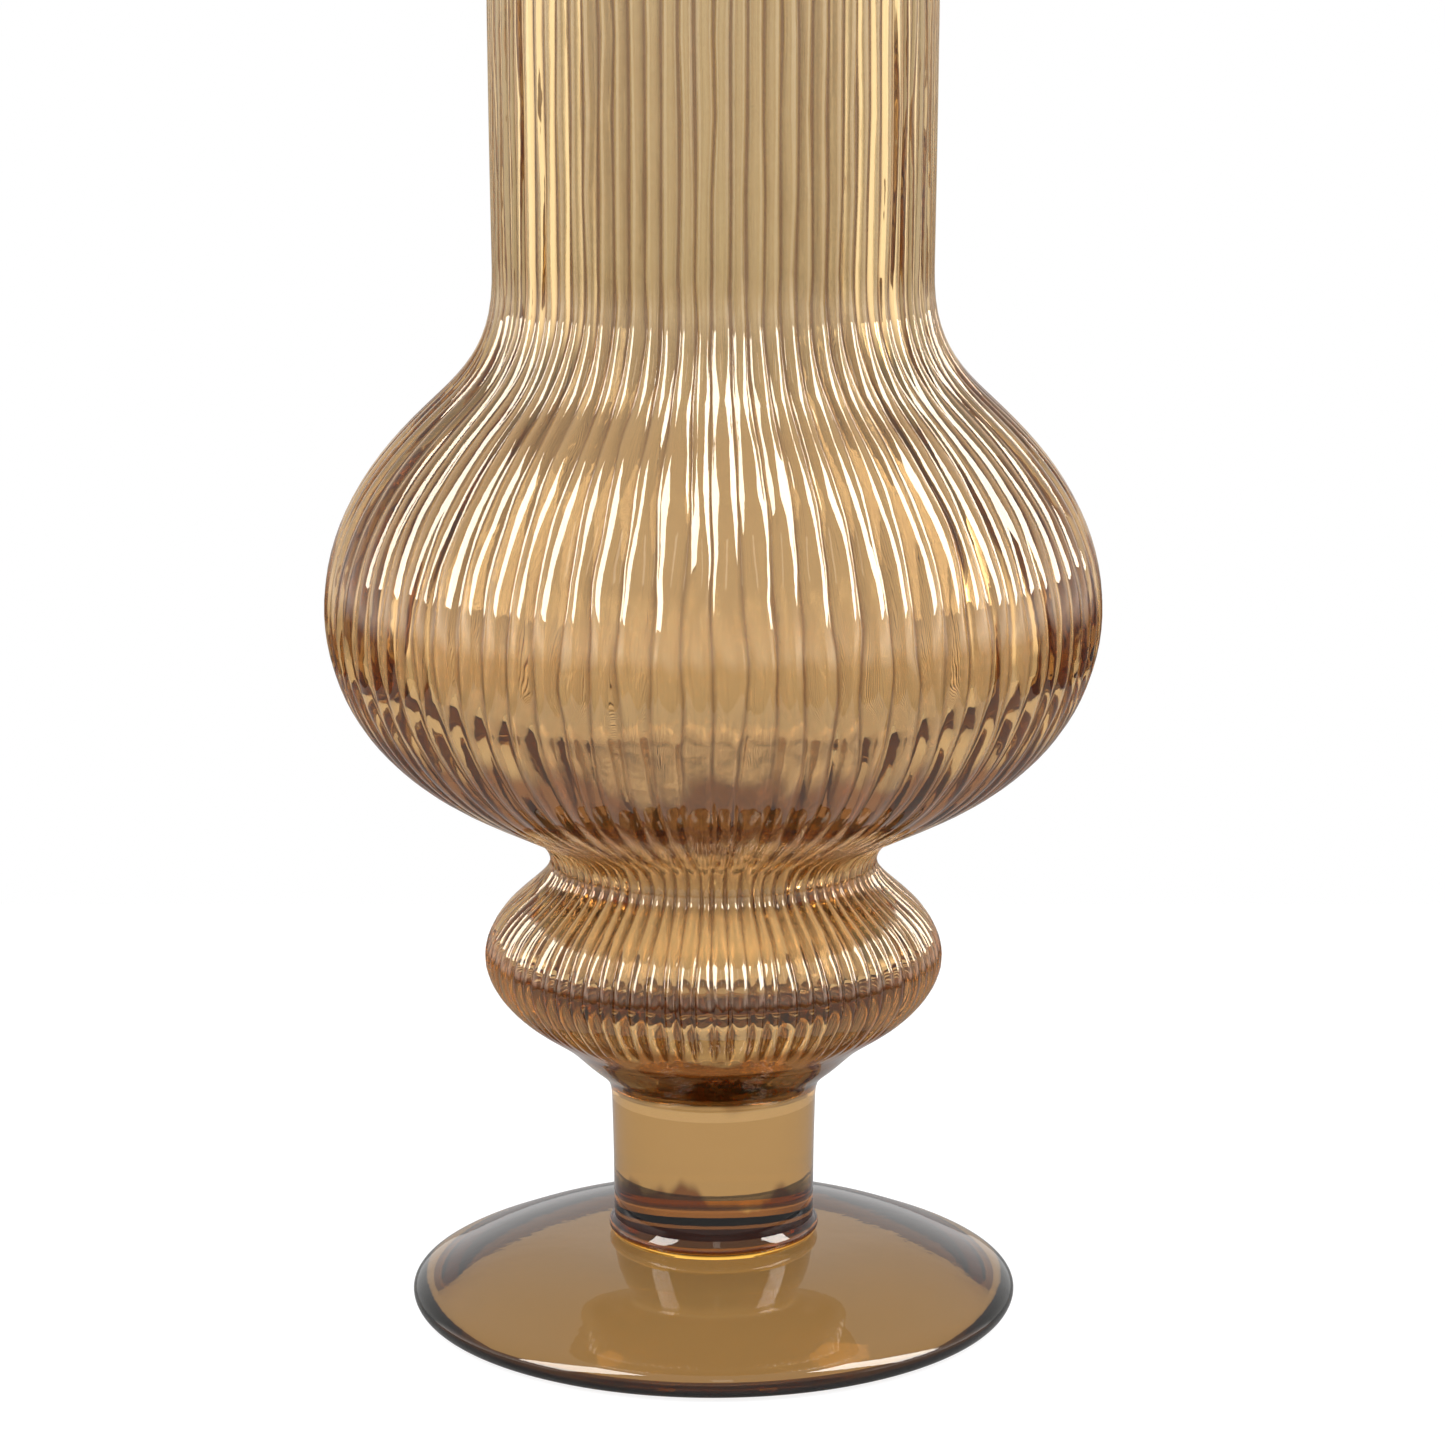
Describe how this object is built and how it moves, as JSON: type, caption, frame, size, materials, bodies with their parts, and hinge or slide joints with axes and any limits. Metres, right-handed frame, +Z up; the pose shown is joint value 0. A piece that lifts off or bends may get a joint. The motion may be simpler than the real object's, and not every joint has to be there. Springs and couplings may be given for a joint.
{
  "type": "vase",
  "caption": "Tall footed vase in amber blown glass: ribbed cylinder neck flowing into a large bulb, a pinched waist and a small bulb, on a solid stem and a domed round foot.",
  "frame": {"origin": "centre of the circle on which the foot rests, on the table", "axes": "+Z runs up the vase's axis of revolution to the lip; X and Y are equal"},
  "size_m": [0.2132, 0.2132, 0.46],
  "materials": {
    "amber_glass": "clear amber blown glass, glossy, with vertical optic ribs",
    "amber_base_glass": "clear amber glass, smooth and glossy, darker where it is thick"
  },
  "bodies": {
    "root": {"body": "amber_glass", "stem": "amber_base_glass", "joining_ring": "amber_base_glass", "foot": "amber_base_glass"}
  },
  "joints": []
}
